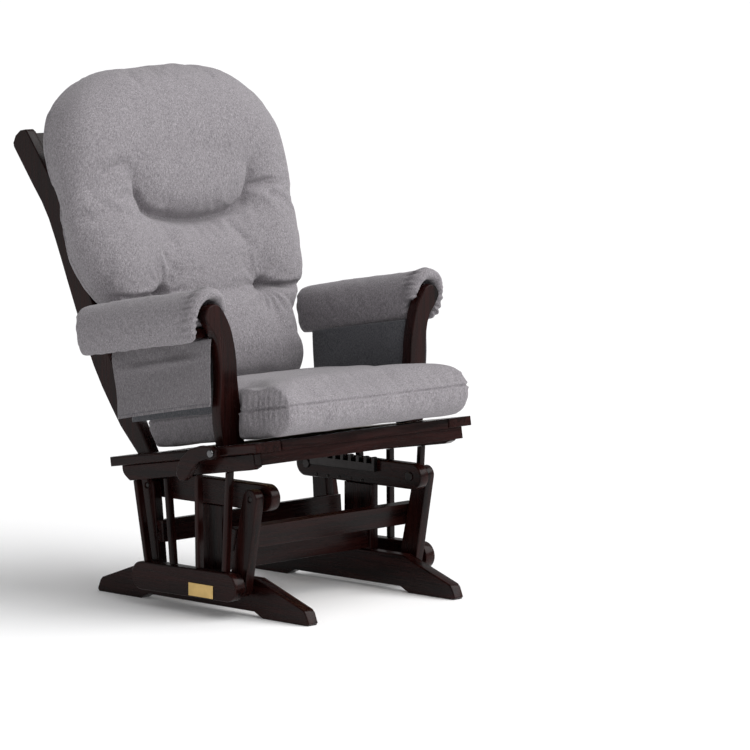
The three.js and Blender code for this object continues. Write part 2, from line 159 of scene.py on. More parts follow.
# Stained wood with its grain along x, y or z.
def espressoWood(direction):
    wood = Recipe("espresso_" + direction)
    axis = "xyz".index(direction)
    stretch = [espresso["across"]] * 3
    stretch[axis] = espresso["along"]
    where = wood.place(stretch)
    broad = wood.grain(0.45, where, 3, 0.5, 0.6)
    streak = wood.grain(1.6, where, 6, 0.62, 0.3)
    pores = wood.grain(7.0, where, 2, 0.5)
    tone = wood.spread(broad * 0.55 + streak * 0.45, 0.36, 0.66)
    colour = wood.mix(tone, espresso["dark"], espresso["red"])
    poreMask = wood.spread(pores, 0.58, 0.72)
    colour = wood.mix(poreMask * 0.5, colour, espresso["pore"])
    wood.set(Base_Color=colour, Roughness=wood.spread(streak, 0.3, 0.7, 0.2, 0.34),
             Normal=wood.bump(streak * 0.5 - poreMask * 0.6, 0.00025, 0.5))
    wood.set(Coat_Weight=0.05, Coat_Roughness=0.1, Specular_IOR_Level=0.11)
    return wood.material


heather = {"pitch": 1.1 * mm, "dark": (0.118, 0.11, 0.12), "mid": (0.236, 0.22, 0.234),
           "pale": (0.43, 0.405, 0.425)}


# Heathered cloth: pale and dark yarns side by side, with a fine basket weave in relief.
def heatheredCloth(name, shade=1.0, reliefs=1.0):
    cloth = Recipe(name)
    where = cloth.place()
    yarns = cloth.grain(1.0, cloth.place((900, 900, 380)), 2, 0.6)
    flecks = cloth.grain(1.0, cloth.place((420, 420, 150)), 2, 0.6, 0.3)
    clouds = cloth.grain(9.0, where, 2, 0.5)
    tone = cloth.spread(yarns * 0.62 + flecks * 0.38, 0.33, 0.67)
    # shade scales all three yarn colours; a value below 1 paints shade into the cloth rather than making a
    # darker yarn
    dark, mid, pale = ([c * shade for c in heather[key]] for key in ("dark", "mid", "pale"))
    colour = cloth.ramp(tone, (0.0, dark), (0.45, mid), (1.0, pale))
    colour = cloth.mix(cloth.spread(clouds, 0.3, 0.7, 0.0, 0.16), colour, mid)
    step = 2 * math.pi / heather["pitch"]
    x, y, z = cloth.split(where)
    a, b, c = (x * step).sine(), (y * step).sine(), (z * step).sine()
    weave = a * b + b * c + a * c
    height = weave * 0.3 + yarns * 0.5 + flecks * 0.3
    cloth.set(Base_Color=colour, Roughness=cloth.spread(yarns, 0.3, 0.7, 0.82, 0.98),
              Normal=cloth.bump(height, 0.0004 * reliefs, 0.6))
    cloth.set(Sheen_Weight=0.18, Sheen_Roughness=0.45, Specular_IOR_Level=0.15)
    return cloth.material


def liningCloth():
    cloth = Recipe("lining_cloth")
    threads = cloth.grain(1.0, cloth.place((520, 520, 320)), 2, 0.6)
    tone = cloth.spread(threads, 0.3, 0.7)
    colour = cloth.ramp(tone, (0.0, (0.055, 0.056, 0.062)), (1.0, (0.14, 0.143, 0.155)))
    cloth.set(Base_Color=colour, Roughness=cloth.spread(threads, 0.3, 0.7, 0.82, 0.97),
              Normal=cloth.bump(threads, 0.0006, 0.6))
    cloth.set(Sheen_Weight=0.15, Sheen_Roughness=0.5, Specular_IOR_Level=0.2)
    return cloth.material


def metal(name, colour, rough, wear=0.12, brushed=(60, 60, 60)):
    plated = Recipe(name)
    scratches = plated.grain(1.0, plated.place([k * 12 for k in brushed]), 4, 0.6)
    blotches = plated.grain(45.0, plated.place(), 3, 0.5)
    tint = plated.mix(plated.spread(blotches, 0.35, 0.7, 0.0, 0.35), colour, [c * 0.6 for c in colour])
    roughness = plated.spread(scratches * 0.6 + blotches * 0.4, 0.3, 0.7, rough, rough + wear)
    plated.set(Base_Color=tint, Roughness=roughness, Normal=plated.bump(scratches, 0.00005, 0.4))
    plated.set(Metallic=1.0)
    return plated.material


def rawPlywood():
    ply = Recipe("raw_plywood")
    streak = ply.grain(1.0, ply.place((12, 160, 160)), 5, 0.6, 0.5)
    colour = ply.mix(ply.spread(streak, 0.35, 0.65), (0.36, 0.22, 0.11), (0.52, 0.36, 0.2))
    ply.set(Base_Color=colour, Roughness=ply.spread(streak, 0.3, 0.7, 0.55, 0.75),
            Normal=ply.bump(streak, 0.0003, 0.4))
    return ply.material


wood = {direction: espressoWood(direction) for direction in "xyz"}
cushionCloth = heatheredCloth("heathered_cloth")
# the same heathered cloth darkened to 0.7: painted shade for the outside pockets that hang under the pads
pocketClothPaintedShade = heatheredCloth("heathered_cloth_painted_shade", 0.7, 0.7)
darkLining = liningCloth()
darkSteel = metal("dark_steel", (0.045, 0.042, 0.042), 0.34)
bolt = metal("chrome_bolt", (0.14, 0.14, 0.145), 0.2, 0.08)
brass = metal("satin_brass", (0.72, 0.5, 0.2), 0.3, 0.12, (10, 90, 90))
plywood = rawPlywood()
print("finishes made")


def meshFrom(name, points, faces):
    mesh = bpy.data.meshes.new(name)
    mesh.from_pydata([tuple(p) for p in points], [], [tuple(f) for f in faces])
    mesh.validate()
    return mesh


def pieceFrom(name, mesh, material):
    piece = bpy.data.objects.new(name, mesh)
    bpy.context.scene.collection.objects.link(piece)
    mesh.materials.clear()
    mesh.materials.append(material)
    return piece


def applied(piece):
    made = bpy.data.meshes.new_from_object(piece.evaluated_get(bpy.context.evaluated_depsgraph_get()))
    old = piece.data
    piece.modifiers.clear()
    piece.data = made
    bpy.data.meshes.remove(old)
    return piece


def tidyNormals(mesh):
    bm = bmesh.new()
    bm.from_mesh(mesh)
    bmesh.ops.remove_doubles(bm, verts=bm.verts, dist=0.00001)
    bmesh.ops.recalc_face_normals(bm, faces=bm.faces)
    bm.to_mesh(mesh)
    bm.free()


def points(mesh):
    made = np.empty(len(mesh.vertices) * 3)
    mesh.vertices.foreach_get("co", made)
    return made.reshape(-1, 3)


def setPoints(mesh, made):
    mesh.vertices.foreach_set("co", made.ravel())
    mesh.update()


def vertexNormals(mesh):
    made = np.empty(len(mesh.vertices) * 3)
    mesh.vertex_normals.foreach_get("vector", made)
    return made.reshape(-1, 3)


def finishPiece(piece, body, slotName, *nodes):
    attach(piece, body)
    if nodes:
        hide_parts(*nodes)
    return piece


grainOf = {
    "foot": "y", "base_rail": "y", "lower_board": "y", "side_rail": "y", "apron": "y", "arm_rest": "y",
    "upright": "z", "spindle": "z", "swing_arm": "z", "arm_post": "z", "back_post": "z", "back_slat": "z",
    "lever": "y", "stretcher": "x", "board": "x", "front_rail": "x", "rear_rail": "x", "crest": "x",
    "lower_back": "x",
}
plainFinish = {"deck_plywood": plywood, "pivot_steel": darkSteel, "chrome_shaft": bolt, "brass_plate": brass}


def finishOf(node):
    slotName = slotOf[node]
    if slotName != "espresso_wood":
        return plainFinish.get(slotName)
    direction = next(grain for word, grain in grainOf.items() if word in node)
    return wood[direction]


# A board or fitting: the same solid with merged corners, eased edges and smooth round ends.
def easedCopy(node, edge=0.0009):
    mesh = frame["nodes"][node].data.copy()
    mesh.name = node
    bm = bmesh.new()
    bm.from_mesh(mesh)
    bmesh.ops.remove_doubles(bm, verts=bm.verts, dist=0.00002)
    bmesh.ops.dissolve_limit(bm, angle_limit=math.radians(0.6), verts=bm.verts, edges=bm.edges)
    bm.to_mesh(mesh)
    bm.free()
    mesh.shade_smooth()
    mesh.set_sharp_from_angle(angle=math.radians(52))
    piece = pieceFrom(node + "_finished", mesh, finishOf(node))
    ease = piece.modifiers.new("ease", "BEVEL")
    ease.width, ease.segments, ease.limit_method = edge, 2, "ANGLE"
    ease.angle_limit = math.radians(52)
    ease.harden_normals = False
    even = piece.modifiers.new("even", "WEIGHTED_NORMAL")
    even.keep_sharp = False
    even.weight = 60
    return finishPiece(piece, bodyOf[node], slotOf[node], node)


softNodes = [node for node, slotName in slotOf.items() if "fabric" in slotName]
for node in slotOf:
    if node not in softNodes:
        easedCopy(node)
print("boards and fittings finished")


def voxelRemesh(piece, size):
    change = piece.modifiers.new("voxels", "REMESH")
    change.mode, change.voxel_size, change.adaptivity = "VOXEL", size, 0
    return applied(piece)


def relax(piece, rounds, factor=0.5):
    change = piece.modifiers.new("relax", "SMOOTH")
    change.factor, change.iterations = factor, rounds
    return applied(piece)


def weightGroup(piece, name, weights):
    group = piece.vertex_groups.new(name=name)
    for index in np.nonzero(weights > 0.001)[0]:
        group.add([int(index)], float(weights[index]), "REPLACE")


filling = {"pressure": 4.0, "mass": 0.3, "stretch": 12, "bend": 0.6}


# Swells a remeshed blank like a filled cover. held is 1 where the cover is tied down.
def swell(piece, held, cap, slack=0.0, frames=20):
    before = points(piece.data)
    weightGroup(piece, "held", held)
    change = piece.modifiers.new("cover", "CLOTH")
    settings = change.settings
    settings.quality, settings.mass, settings.vertex_group_mass = 5, filling["mass"], "held"
    settings.tension_stiffness = filling["stretch"]
    settings.compression_stiffness = filling["stretch"]
    settings.shear_stiffness = filling["stretch"]
    settings.bending_stiffness = filling["bend"]
    settings.use_pressure, settings.uniform_pressure_force = True, filling["pressure"]
    settings.shrink_min = -slack
    settings.effector_weights.gravity = 0
    change.collision_settings.use_collision = False
    change.point_cache.frame_start, change.point_cache.frame_end = 1, frames
    for number in range(1, frames + 1):
        bpy.context.scene.frame_set(number)
    applied(piece)
    bpy.context.scene.frame_set(1)
    after = points(piece.data)
    move = after - before
    length = np.linalg.norm(move, axis=1)
    limit = cap * np.tanh(length / cap) / np.maximum(length, 1e-9)
    setPoints(piece.data, before + move * limit[:, None])
    piece.vertex_groups.clear()


def subdivide(piece):
    change = piece.modifiers.new("fine", "SUBSURF")
    change.levels = change.render_levels = 1
    applied(piece)
    piece.data.shade_smooth()


# distance of every point from a run of places, and how far along the run it is (0 to 1)
def nearRun(places, spots):
    spots = [np.array(s, float) for s in spots]
    lengths = [np.linalg.norm(b - a) for a, b in zip(spots, spots[1:])]
    total = sum(lengths)
    best = np.full(len(places), 1e9)
    along = np.zeros(len(places))
    done = 0.0
    for a, b, length in zip(spots, spots[1:], lengths):
        t = np.clip(((places - a) @ (b - a)) / (length * length), 0, 1)
        gap = np.linalg.norm(places - a - t[:, None] * (b - a), axis=1)
        closer = gap < best
        best[closer] = gap[closer]
        along[closer] = (done + t[closer] * length) / total
        done += length
    return best, along


# a smooth curve through a few places
def curveThrough(spots, steps=8):
    spots = [np.array(s, float) for s in spots]
    padded = [2 * spots[0] - spots[1], *spots, 2 * spots[-1] - spots[-2]]
    made = []
    for i in range(1, len(padded) - 2):
        p0, p1, p2, p3 = padded[i - 1:i + 3]
        for k in range(steps):
            t = k / steps
            made.append(0.5 * (2 * p1 + (p2 - p0) * t + (2 * p0 - 5 * p1 + 4 * p2 - p3) * t * t
                               + (3 * p1 - p0 - 3 * p2 + p3) * t ** 3))
    return [*made, spots[-1]]


def roughness3(places, size, seed):
    return np.array([noise.noise(Vector(p) / size + Vector((seed, seed * 2, 0))) for p in places])


backCushion = {
    "outline": [(-222, 404), (-230, 470), (-242, 540), (-272, 592), (-296, 645), (-308, 720), (-310, 800),
                (-306, 870), (-294, 925), (-265, 972), (-212, 1013), (-135, 1042), (0, 1053)],
    "front": [(404, 152), (432, 140), (498, 138), (570, 152), (615, 164), (680, 184), (790, 220), (907, 254),
              (980, 280), (1053, 316)],
    "rear": [(404, 187), (464, 222), (528, 254), (610, 289), (680, 320), (790, 354), (880, 386), (950, 402),
             (1053, 404)],
    "heart": 740, "shrink": 8, "voxel": 6.5, "cap": 16, "frontRound": 72, "rearRound": 28,
    "halfWidth": 309, "low": 403, "high": 1055,
    "smile": [(-156, 796), (-142, 768), (-105, 750), (-50, 741), (0, 738), (50, 741), (105, 750), (142, 768),
              (156, 796)],
    "smileDepth": 31,
    "smileEnds": [([(-156, 796), (-161, 822), (-158, 846)], 14), ([(156, 796), (162, 822), (158, 848)], 18),
                  ([(156, 796), (192, 802), (236, 808)], 20), ([(-156, 796), (-186, 790)], 6)],
    "tufts": [(-140, 605), (140, 605)], "tuftDepth": 46,
    "wings": [[(140, 605), (185, 602), (225, 601), (268, 606)],
              [(-140, 605), (-185, 602), (-225, 601), (-268, 606)]],
    "waist": [(-140, 605), (-75, 600), (0, 598), (75, 600), (140, 605)],
    "lowSides": [(404, 212), (440, 219), (500, 226), (540, 238), (585, 300), (620, 400)], "lowRound": 18,
    "seamIn": 30, "seamLip": 1.7, "uneven": 1.6,
}


def between(rows, value):
    rows = np.array(rows, float)
    return np.interp(value, rows[:, 0], rows[:, 1])


# the cushion's outline seen from the front, as a radius for each angle about its heart
def outlineRadius(half, heart, angles):
    loop = [*half, *[(-x, z) for x, z in reversed(half[:-1])]]
    loop = np.array(curveThrough(loop + [loop[0]], 6))
    turn = np.arctan2(loop[:, 1] - heart, loop[:, 0])
    radius = np.hypot(loop[:, 1] - heart, loop[:, 0])
    order = np.argsort(turn)
    return np.interp(angles, turn[order], radius[order], period=2 * math.pi)


# a boxed blank of rings about the heart: front face, round edge, border, round edge and rear face
def backBlank(settings):
    spokes, faceRings, edgeRings, wallRings = 220, 30, 8, 10
    angles = np.linspace(-math.pi, math.pi, spokes, endpoint=False)
    radius = outlineRadius(settings["outline"], settings["heart"], angles) - settings["shrink"]
    front, rear = settings["frontRound"], settings["rearRound"]
    stations = []
    for ring in range(faceRings + 1):
        stations.append((ring / faceRings, 0.0, "front"))
    for ring in range(1, edgeRings + 1):
        stations.append((1.0, math.pi / 2 * ring / edgeRings, "front"))
    for ring in range(1, wallRings):
        stations.append((1.0, ring / wallRings, "wall"))
    for ring in range(edgeRings, 0, -1):
        stations.append((1.0, math.pi / 2 * ring / edgeRings, "rear"))
    for ring in range(faceRings, -1, -1):
        stations.append((ring / faceRings, 0.0, "rear"))
    made = []
    for share, turn, part in stations:
        corner = front if part == "front" else rear
        if part == "wall":
            reach = radius
        else:
            reach = (radius - corner) * share + corner * math.sin(turn)
        x = np.cos(angles) * reach
        z = settings["heart"] + np.sin(angles) * reach
        nearY = between(settings["front"], z) + settings["shrink"]
        farY = between(settings["rear"], z) - settings["shrink"] * 0.5
        span = farY - nearY
        frontCorner = np.minimum(front, span * 0.45)
        rearCorner = np.minimum(rear, span * 0.45)
        if part == "front":
            y = nearY + frontCorner * (1 - math.cos(turn))
        elif part == "rear":
            y = farY - rearCorner * (1 - math.cos(turn))
        else:
            y = nearY + frontCorner + (span - frontCorner - rearCorner) * turn
        made.extend(zip(x, y, z))
    faces = []
    for ring in range(len(stations) - 1):
        for spoke in range(spokes):
            after = (spoke + 1) % spokes
            a, b = ring * spokes, (ring + 1) * spokes
            faces.append((a + spoke, a + after, b + after, b + spoke))
    return meshFrom("back_cushion_cover", [at(*p) for p in made], faces)


def own(piece):
    return (points(piece.data) - np.array(at(0, 0, 0))) / mm


def setOwn(piece, made):
    setPoints(piece.data, made * mm + np.array(at(0, 0, 0)))


# how strongly the front face is pulled in at the tufts and creases, and where the cover is tied down
def backTies(places, settings, sharp=1.0):
    flat = places[:, [0, 2]]
    onFront = smoothStep(between(settings["rear"], places[:, 2]) - 30 - places[:, 1], 0, 40)
    pull = np.zeros(len(places))
    held = np.zeros(len(places))

    def tie(gap, depth, width, hold, holdWidth, fade=1.0):
        nonlocal pull, held
        pull = np.maximum(pull, depth * fade * np.exp(-(gap / (width * sharp)) ** 2))
        held = np.maximum(held, hold * fade * np.exp(-(gap / holdWidth) ** 2))

    gap, along = nearRun(flat, settings["smile"])
    tie(gap, settings["smileDepth"], 8, 1.0, 6, 0.8 + 0.2 * np.sin(math.pi * along))
    for run, depth in settings["smileEnds"]:
        gap, along = nearRun(flat, run)
        tie(gap, depth, 8, 0.8, 5, (1 - along) ** 0.8)
    for run in settings["wings"]:
        gap, along = nearRun(flat, run)
        tie(gap, 30, 9, 1.0, 5, 1 - 0.8 * along)
    gap, _ = nearRun(flat, settings["waist"])
    tie(gap, 6, 16, 0.12, 8)
    for tuft in settings["tufts"]:
        tie(np.hypot(flat[:, 0] - tuft[0], flat[:, 1] - tuft[1]), settings["tuftDepth"], 14, 1.0, 8)
    return pull * onFront, held * onFront


# broad swells: the middle sits back between the side bolsters, with a head pillow and a lumbar roll on it
def backSwells(places):
    x, z = places[:, 0], places[:, 2]
    head = 10 * np.exp(-((x / 140) ** 2 + ((z - 812) / 52) ** 2)) * smoothStep(z, 732, 750)
    lumbar = 9 * np.exp(-((x / 130) ** 4 + ((z - 668) / 44) ** 2))
    middle = -25 * np.exp(-((x / 190) ** 4 + ((z - 722) / 150) ** 4))
    return head + lumbar + middle


# small gathers that run into the tufts and the smile
def backGathers(places, settings):
    x, z = places[:, 0], places[:, 2]
    made = np.zeros(len(places))
    for side, tuft in zip((-1, 1), settings["tufts"]):
        dx, dz = (x - tuft[0]), z - tuft[1]
        reach = np.hypot(dx, dz)
        turn = np.arctan2(dx * side, dz)
        fans = np.sin(turn * 14 + 0.9 * np.sin(reach / 16))
        fade = smoothStep(reach, 8, 22) * (1 - smoothStep(reach, 44, 84))
        below = np.where(dz < 0, 1.0, 0.5)
        made += 1.7 * fans * fade * below
        lines = np.sin((x - side * 0.12 * dz) / 3.4)
        inside = np.exp(-((dx * side + 18) / 16) ** 2) * smoothStep(dz, 6, 22) * (1 - smoothStep(dz, 62, 105))
        made += 1.6 * lines * inside
    smileGap, _ = nearRun(places[:, [0, 2]], settings["smile"])
    half = settings["smile"][4:]
    under = z < np.interp(np.abs(x), [spot[0] for spot in half], [spot[1] for spot in half])
    lines = np.sin(x / 5.2 + 0.8 * np.sin(x / 31))
    made += 0.9 * lines * under * smoothStep(smileGap, 4, 12) * (1 - smoothStep(smileGap, 14, 46))
    return made


# brings the swollen cover back to the cushion's own width and height
def fitSpan(spots, axis, low, high):
    nowLow, nowHigh = spots[:, axis].min(), spots[:, axis].max()
    spots[:, axis] = low + (spots[:, axis] - nowLow) * (high - low) / (nowHigh - nowLow)


def makeBackCushion():
    settings = backCushion
    piece = pieceFrom("back_cushion_cover", backBlank(settings), cushionCloth)
    tidyNormals(piece.data)
    voxelRemesh(piece, settings["voxel"] * mm)
    relax(piece, 3)
    spots = own(piece)
    pull, held = backTies(spots, settings)
    frontness = smoothStep(-vertexNormals(piece.data)[:, 1], 0.1, 0.6)
    spots[:, 1] += (pull - backSwells(spots)) * frontness
    setOwn(piece, spots)
    swell(piece, held * frontness, settings["cap"] * mm, slack=0.03)
    relax(piece, 1, 0.4)
    subdivide(piece)
    spots = own(piece)
    fitSpan(spots, 0, -settings["halfWidth"], settings["halfWidth"])
    fitSpan(spots, 2, settings["low"], settings["high"])
    reach = np.abs(spots[:, 0])
    lowRound = settings["lowRound"]
    limit = between(settings["lowSides"], spots[:, 2]) - lowRound
    over = np.maximum(reach - limit, 0)
    spots[:, 0] = np.sign(spots[:, 0]) * (reach - over + lowRound * np.tanh(over / lowRound))
    setOwn(piece, spots)
    normals = vertexNormals(piece.data)
    frontness = smoothStep(-normals[:, 1], 0.0, 0.5)
    pull, _ = backTies(spots, settings, 0.45)
    spots += normals * (backGathers(spots, settings) * frontness)[:, None]
    spots[:, 1] += frontness * 0.22 * pull
    onSide = smoothStep(np.abs(normals[:, 0]) + np.abs(normals[:, 2]) * (spots[:, 2] > 700), 0.45, 0.8)
    gap = spots[:, 1] - between(settings["rear"], spots[:, 2]) + settings["seamIn"]
    seam = np.exp(-((gap - 4) / 2.6) ** 2) - np.exp(-(gap / 2.2) ** 2)
    spots += normals * (settings["seamLip"] * seam * onSide)[:, None]
    spots += normals * (roughness3(spots, 46, 3.7) * settings["uneven"])[:, None]
    setOwn(piece, spots)
    finishPiece(piece, "back", "cushion_fabric", "back_cushion")
    print("back cushion", len(piece.data.polygons))


makeBackCushion()


seatCushion = {"roughVoxel": 8.0, "voxel": 6.0, "inset": 5, "cap": 13, "seam": 64, "gather": 4.2,
               "gatherX": 250, "gatherY": -212, "clear": 1.2}


def seatTop(y):
    return seatHeight - y * math.tan(seatTilt)


def makeSeatCushion():
    settings = seatCushion
    mesh = frame["nodes"]["seat_cushion"].data.copy()
    tidyNormals(mesh)
    piece = pieceFrom("seat_cushion_cover", mesh, cushionCloth)
    voxelRemesh(piece, settings["roughVoxel"] * mm)
    relax(piece, 6)
    spots = own(piece)
    spots -= vertexNormals(piece.data) * settings["inset"]
    setOwn(piece, spots)
    voxelRemesh(piece, settings["voxel"] * mm)
    relax(piece, 2)
    spots = own(piece)
    normals = vertexNormals(piece.data)
    seamGap = spots[:, 2] - seatTop(spots[:, 1]) - settings["seam"]
    sideways = 1 - smoothStep(np.abs(normals[:, 2]), 0.3, 0.7)
    held = np.maximum(0.8 * np.exp(-(seamGap / 6) ** 2) * sideways, smoothStep(-normals[:, 2], 0.5, 0.9))
    swell(piece, held, settings["cap"] * mm, slack=0.015)
    relax(piece, 1, 0.4)
    subdivide(piece)
    spots = own(piece)
    normals = vertexNormals(piece.data)
    floor = seatTop(spots[:, 1]) + settings["clear"]
    seamGap = spots[:, 2] - seatTop(spots[:, 1]) - settings["seam"]
    sideways = 1 - smoothStep(np.abs(normals[:, 2]), 0.35, 0.75)
    seam = 1.6 * np.exp(-((np.abs(seamGap) - 5) / 2.6) ** 2) - 3.6 * np.exp(-(seamGap / 2.2) ** 2)
    spots += normals * (seam * sideways)[:, None]
    x, y = np.abs(spots[:, 0]), spots[:, 1]
    gatherX, gatherY = settings["gatherX"], settings["gatherY"]
    corner = np.exp(-(((x - gatherX) / 48) ** 2 + ((y - gatherY) / 56) ** 2))
    lines = np.sin((x + y) / 2.4 + 0.8 * np.sin((x - y) / 17)) * np.exp(-((np.abs(seamGap) - 8) / 20) ** 2)
    spots += normals * (settings["gather"] * lines * corner * sideways)[:, None]
    spots += normals * (roughness3(spots, 52, 8.1) * 1.8)[:, None]
    spots[:, 2] = np.maximum(spots[:, 2], floor)
    setOwn(piece, spots)
    finishPiece(piece, "carriage", "cushion_fabric", "seat_cushion")
    print("seat cushion", len(piece.data.polygons))


makeSeatCushion()


armPad = {"frontY": -106.5, "frontZ": 538.5, "voxel": 5.0, "cap": 7, "lip": 15,
          "middleX": 307, "middleUp": 52, "ripple": 3.4}


def padSpace(places):
    dy, dz = places[:, 1] - armPad["frontY"], places[:, 2] - armPad["frontZ"]
    c, s = math.cos(seatTilt), math.sin(seatTilt)
    return dy * c - dz * s, dy * s + dz * c


# a rolled lip that goes forward and round the top of the post's head
def lipTube(side):
    path = curveThrough([(336, -106, 548), (343, -112, 562), (344, -119, 588), (340, -124, 612),
                         (327, -127, 628), (306, -128, 634), (286, -127, 628), (272, -123, 608),
                         (268, -114, 585)], 6)
    sides = 14
    made, faces = [], []
    for step, spot in enumerate(path):
        ahead = path[min(step + 1, len(path) - 1)] - path[max(step - 1, 0)]
        ahead /= np.linalg.norm(ahead)
        across = np.cross(ahead, (0, 1, 0))
        across /= np.linalg.norm(across)
        forward = np.cross(across, ahead)
        for k in range(sides):
            angle = 2 * math.pi * k / sides
            offset = across * math.cos(angle) * 0.8 + forward * math.sin(angle) * 1.25
            p = spot + (offset + np.array((0, 0.9, 0))) * armPad["lip"]
            made.append(at(side * p[0], p[1], p[2]))
    count = len(path)
    for step in range(count - 1):
        for k in range(sides):
            a, b = step * sides + k, step * sides + (k + 1) % sides
            faces.append((a, b, b + sides, a + sides))
    faces.append(tuple(range(sides))[::-1])
    faces.append(tuple((count - 1) * sides + k for k in range(sides)))
    return made, faces


def makeArmPad(word, side):
    node = f"{word}_arm_pad"
    mesh = frame["nodes"][node].data.copy()
    tidyNormals(mesh)
    made, faces = lipTube(side)
    bm = bmesh.new()
    bm.from_mesh(mesh)
    fresh = [bm.verts.new(p) for p in made]
    for face in faces:
        bm.faces.new([fresh[k] for k in face])
    bmesh.ops.recalc_face_normals(bm, faces=bm.faces)
    bm.to_mesh(mesh)
    bm.free()
    piece = pieceFrom(f"{word}_arm_pad_cover", mesh, cushionCloth)
    voxelRemesh(piece, armPad["voxel"] * mm)
    relax(piece, 14)
    flat = smoothStep(-vertexNormals(piece.data)[:, 2], 0.4, 0.9)
    swell(piece, flat * 0.9, armPad["cap"] * mm, slack=0.01, frames=14)
    subdivide(piece)
    spots = own(piece)
    normals = vertexNormals(piece.data)
    along, up = padSpace(spots)
    turn = np.arctan2(spots[:, 0] * side - armPad["middleX"], up - armPad["middleUp"])
    ripple = np.sin(turn * 25 + 1.3 * np.sin(turn * 5)) * (0.7 + 0.3 * np.sin(turn * 11 + 1))
    fade = np.exp(-((along + 8) / 15) ** 2) * smoothStep(up, -5, 15)
    spots += normals * (armPad["ripple"] * ripple * fade)[:, None]
    spots += normals * (roughness3(spots, 30, 5.0 + side) * 1.0)[:, None]
    setOwn(piece, spots)
    finishPiece(piece, "carriage", "cushion_fabric", node)
    print(word, "arm pad", len(piece.data.polygons))


# a cloth panel on a grid of places, with a wall
def clothPanel(name, place, columns, rows, material, wall=1.6):
    made = [at(*place(c / columns, r / rows)) for r in range(rows + 1) for c in range(columns + 1)]
    wide = columns + 1
    faces = []
    for r in range(rows):
        for c in range(columns):
            a = r * wide + c
            faces.append((a, a + 1, a + 1 + wide, a + wide))
    piece = pieceFrom(name, meshFrom(name, made, faces), material)
    change = piece.modifiers.new("wall", "SOLIDIFY")
    change.thickness, change.offset = wall * mm, 0
    applied(piece)
    tidyNormals(piece.data)
    piece.data.shade_smooth()
    grid = np.array([tuple(p) for p in made]).reshape(rows + 1, wide, 3)
    width = np.linalg.norm(np.diff(grid, axis=1), axis=2).sum(1).mean()
    drop = np.linalg.norm(np.diff(grid, axis=0), axis=2).sum(0).mean()
    return piece, (float(width), float(drop))


# one tree for what repeats along a path: an item every so often, turned with the path or set square
def repeatTree():
    tree = bpy.data.node_groups.new("repeat_along_path", "GeometryNodeTree")
    face = tree.interface
    face.new_socket("Geometry", in_out="INPUT", socket_type="NodeSocketGeometry")
    face.new_socket("Item", in_out="INPUT", socket_type="NodeSocketObject")
    face.new_socket("Spacing", in_out="INPUT", socket_type="NodeSocketFloat")
    face.new_socket("Follow Path", in_out="INPUT", socket_type="NodeSocketBool")
    face.new_socket("Turn", in_out="INPUT", socket_type="NodeSocketRotation")
    face.new_socket("Spread", in_out="INPUT", socket_type="NodeSocketFloat")
    face.new_socket("Seed", in_out="INPUT", socket_type="NodeSocketInt")
    face.new_socket("Finish", in_out="INPUT", socket_type="NodeSocketMaterial")
    face.new_socket("Geometry", in_out="OUTPUT", socket_type="NodeSocketGeometry")

    def node(kind, settings=None, links=None):
        made = tree.nodes.new(kind)
        for key, value in (settings or {}).items():
            setattr(made, key, value)
        for key, value in (links or {}).items():
            if hasattr(value, "is_output"):
                tree.links.new(value, made.inputs[key])
            else:
                made.inputs[key].default_value = value
        return made

    given = node("NodeGroupInput").outputs
    path = node("GeometryNodeMeshToCurve", {}, {"Mesh": given["Geometry"]})
    spots = node("GeometryNodeCurveToPoints", {"mode": "LENGTH"},
                 {"Curve": path.outputs["Curve"], "Length": given["Spacing"]})
    item = node("GeometryNodeObjectInfo", {}, {"Object": given["Item"]})
    turned = node("GeometryNodeSwitch", {"input_type": "ROTATION"},
                  {"Switch": given["Follow Path"], "False": given["Turn"], "True": spots.outputs["Rotation"]})
    least = node("ShaderNodeMath", {"operation": "SUBTRACT"}, {0: 1.0, 1: given["Spread"]})
    most = node("ShaderNodeMath", {"operation": "ADD"}, {0: 1.0, 1: given["Spread"]})
    size = node("FunctionNodeRandomValue", {"data_type": "FLOAT"}, {"Seed": given["Seed"]})
    tree.links.new(least.outputs[0], size.inputs[2])
    tree.links.new(most.outputs[0], size.inputs[3])
    placed = node("GeometryNodeInstanceOnPoints", {}, {
        "Points": spots.outputs["Points"], "Instance": item.outputs["Geometry"],
        "Rotation": turned.outputs[0], "Scale": size.outputs[1]})
    real = node("GeometryNodeRealizeInstances", {}, {"Geometry": placed.outputs[0]})
    coated = node("GeometryNodeSetMaterial", {}, {"Geometry": real.outputs[0], "Material": given["Finish"]})
    node("NodeGroupOutput", {}, {"Geometry": coated.outputs[0]})
    return tree


repeatAlong = repeatTree()


# a round item turned about z from a profile of (radius, height), both ends on the axis
def turnedItem(name, profile, sides=12):
    made = [Vector((0, 0, profile[0][1] * mm))]
    for radius, height in profile[1:-1]:
        for k in range(sides):
            angle = 2 * math.pi * k / sides
            made.append(Vector((radius * math.cos(angle) * mm, radius * math.sin(angle) * mm, height * mm)))
    made.append(Vector((0, 0, profile[-1][1] * mm)))
    rings, last = len(profile) - 2, len(made) - 1
    faces = [(0, 1 + (k + 1) % sides, 1 + k) for k in range(sides)]
    for ring in range(rings - 1):
        a = 1 + ring * sides
        for k in range(sides):
            after = (k + 1) % sides
            faces.append((a + k, a + after, a + sides + after, a + sides + k))
    a = 1 + (rings - 1) * sides
    faces += [(a + k, a + (k + 1) % sides, last) for k in range(sides)]
    item = pieceFrom(name, meshFrom(name, made, faces), darkSteel)
    item.data.shade_smooth()
    return item


